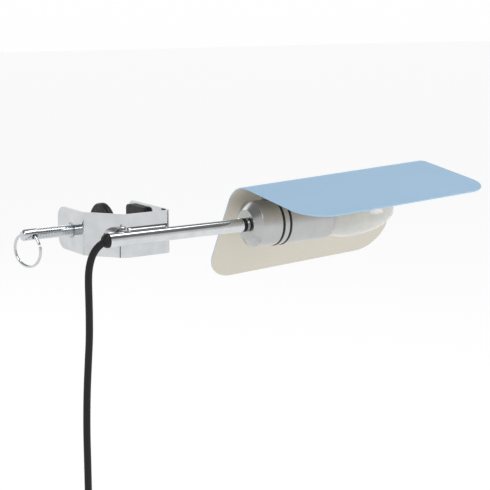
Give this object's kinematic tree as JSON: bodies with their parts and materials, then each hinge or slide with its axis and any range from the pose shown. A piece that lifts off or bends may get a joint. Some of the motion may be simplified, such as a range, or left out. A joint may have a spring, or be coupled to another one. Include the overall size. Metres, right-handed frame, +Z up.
{
  "type": "clip-on picture light",
  "caption": "Clip-on picture light: bent-strip screw clamp with ring handle, pivoting tube arm, turned lampholder head, folded sheet shade that turns on it, hanging cord with switch and plug.",
  "frame": {"origin": "middle of the fixed jaw's rubber face, which bears on the far face of the panel the clamp grips", "axes": "+X from the panel along the arm to the head and bulb, +Z up, -Y towards the front, where the arm and shade are"},
  "size_m": [0.4088, 0.1863, 0.4717],
  "materials": {
    "strip_chrome": "bright chrome plate on bent strip",
    "screw_chrome": "bright chrome plate on a cut thread",
    "bush_steel": "turned and plated",
    "liner_rubber": "matt black, moulded",
    "boss_chrome": "turned and plated",
    "washer_fibre": "brown fibre sheet",
    "cup_steel": "turned, zinc plated",
    "pad_rubber": "matt black, moulded",
    "clip_steel": "phosphated spring steel",
    "ring_chrome": "bright chrome wire",
    "arm_chrome": "bright chrome tube",
    "saddle_chrome": "turned and plated",
    "insert_steel": "turned, as machined",
    "pivot_steel": "blackened socket screw",
    "spring_steel": "plated",
    "grommet_rubber": "satin black, moulded",
    "neck_chrome": "bright chrome",
    "neck_black": "black moulding",
    "nipple_brass": "threaded brass",
    "head_aluminium": "fine turned, satin",
    "o_ring_rubber": "satin black",
    "holder_ceramic": "glazed white ceramic",
    "contact_brass": "pressed brass",
    "holder_black": "black heat-resisting plastic",
    "bulb_cap_metal": "rolled bulb cap",
    "opal_glass": "opal glass, satin coated inside",
    "lead_sheath": "insulated single leads",
    "collar_aluminium": "fine turned, satin",
    "bracket_paint": "cream paint",
    "screw_steel": "zinc plated",
    "shade_paint": "light blue outside, cream inside",
    "cord_textile": "black braided textile",
    "tie_fabric": "black woven strap",
    "switch_plastic": "black, fine spark texture",
    "rocker_plastic": "black, satin",
    "plug_plastic": "black moulding",
    "sleeve_plastic": "black pin insulation",
    "pin_brass": "nickel plated brass"
  },
  "bodies": {
    "clamp": {"clamp_frame": "strip_chrome", "screw_bush": "bush_steel", "jaw_liner": "liner_rubber", "pivot_boss": "boss_chrome", "friction_washer": "washer_fibre"},
    "pad": {"pad_cup": "cup_steel", "rubber_pad": "pad_rubber"},
    "screw": {"clamp_screw": "screw_chrome", "retaining_clip": "clip_steel"},
    "ring": {"pull_ring": "ring_chrome"},
    "arm": {"arm_tube": "arm_chrome", "arm_saddle": "saddle_chrome", "arm_insert": "insert_steel", "pivot_screw": "pivot_steel", "spring_washer": "spring_steel", "arm_grommet": "grommet_rubber", "neck_ring": "neck_chrome", "neck_bush": "neck_black", "neck_nipple": "nipple_brass", "nipple_nut": "nipple_brass", "end_cap": "head_aluminium", "front_o_ring": "o_ring_rubber", "rear_o_ring": "o_ring_rubber", "rear_sleeve": "head_aluminium", "holder_body": "holder_ceramic", "holder_shell": "contact_brass", "centre_contact": "contact_brass", "terminal_screws": "contact_brass", "holder_ring": "holder_black", "bulb_cap": "bulb_cap_metal", "bulb_globe": "opal_glass", "lamp_leads": "lead_sheath", "cord_run": "cord_textile", "cord_coil": "cord_textile", "cord_tail": "cord_textile", "cord_tie": "tie_fabric", "switch_base": "switch_plastic", "switch_cover": "switch_plastic", "switch_screws": "screw_steel", "plug_body": "plug_plastic", "pin_sleeves": "sleeve_plastic", "plug_pins": "pin_brass"},
    "shade": {"shade_collar": "collar_aluminium", "shade_bracket": "bracket_paint", "bracket_screws": "screw_steel", "shade_shell": "shade_paint"},
    "rocker": {"switch_rocker": "rocker_plastic"}
  },
  "joints": [
    {"name": "pad_travel", "type": "slide", "parent": "clamp", "child": "pad", "axis": [1, 0, 0], "range_m": [-0.015, 0.02]},
    {"name": "screw_turn", "type": "hinge", "parent": "pad", "child": "screw", "pos_m": [-0.064, 0, 0], "axis": [1, 0, 0], "range_deg": [-3605, 4805]},
    {"name": "ring_swing", "type": "hinge", "parent": "screw", "child": "ring", "pos_m": [-0.1033, 0, 0], "axis": [0.3746, -0.889, -0.2633], "range_deg": [-45, 25]},
    {"name": "arm_pivot", "type": "hinge", "parent": "clamp", "child": "arm", "pos_m": [-0.0445, -0.064, 0], "axis": [0, 1, 0], "range_deg": [-80, 80]},
    {"name": "shade_turn", "type": "hinge", "parent": "arm", "child": "shade", "pos_m": [0.1105, -0.064, 0], "axis": [1, 0, 0], "continuous": true},
    {"name": "rocker_tilt", "type": "hinge", "parent": "arm", "child": "rocker", "pos_m": [-0.086, -0.0714, -0.259], "axis": [1, 0, 0], "range_deg": [0, 16]}
  ],
  "couplings": [
    {"joint": "screw_turn", "follows": "pad_travel", "rad_per_m": 4188.8}
  ]
}
